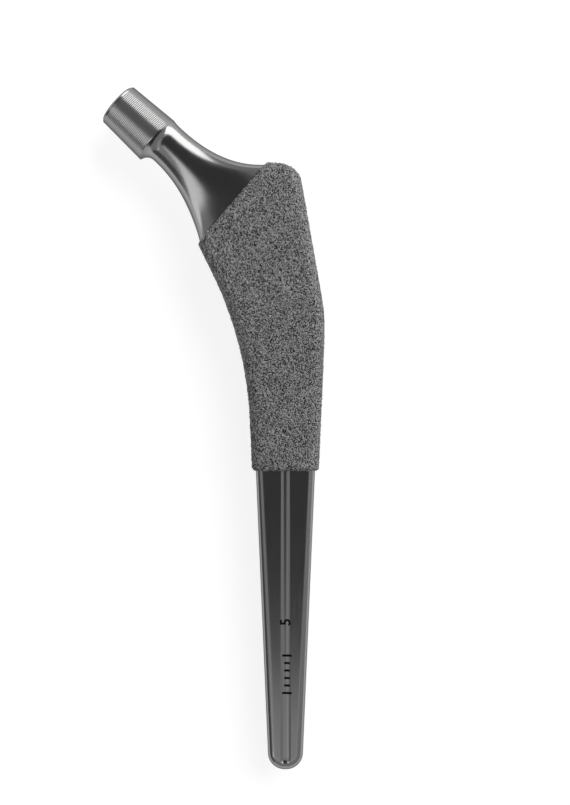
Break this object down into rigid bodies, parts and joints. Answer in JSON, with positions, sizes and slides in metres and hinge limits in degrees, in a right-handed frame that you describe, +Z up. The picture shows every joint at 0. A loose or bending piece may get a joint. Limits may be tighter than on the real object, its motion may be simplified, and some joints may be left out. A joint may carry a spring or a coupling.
{
  "type": "cementless hip stem",
  "caption": "Cementless hip stem with a 12/14 head taper, a polished neck, a rough porous coat round its upper body and a slim grooved lower end.",
  "frame": {"origin": "point of the coat's flat back that lies under the crossing of the neck's and the stem's axes", "axes": "+X to the lateral side, +Y up the stem towards the shoulder, +Z up, square to the coat's flat back"},
  "size_m": [0.0592, 0.1825, 0.0161],
  "materials": {
    "forged_titanium": "mirror polished neck, fine turned taper, satin lower blade",
    "sprayed_titanium": "rough porous plasma spray"
  },
  "bodies": {
    "root": {"stem": "forged_titanium", "porous_coat": "sprayed_titanium"}
  },
  "joints": []
}
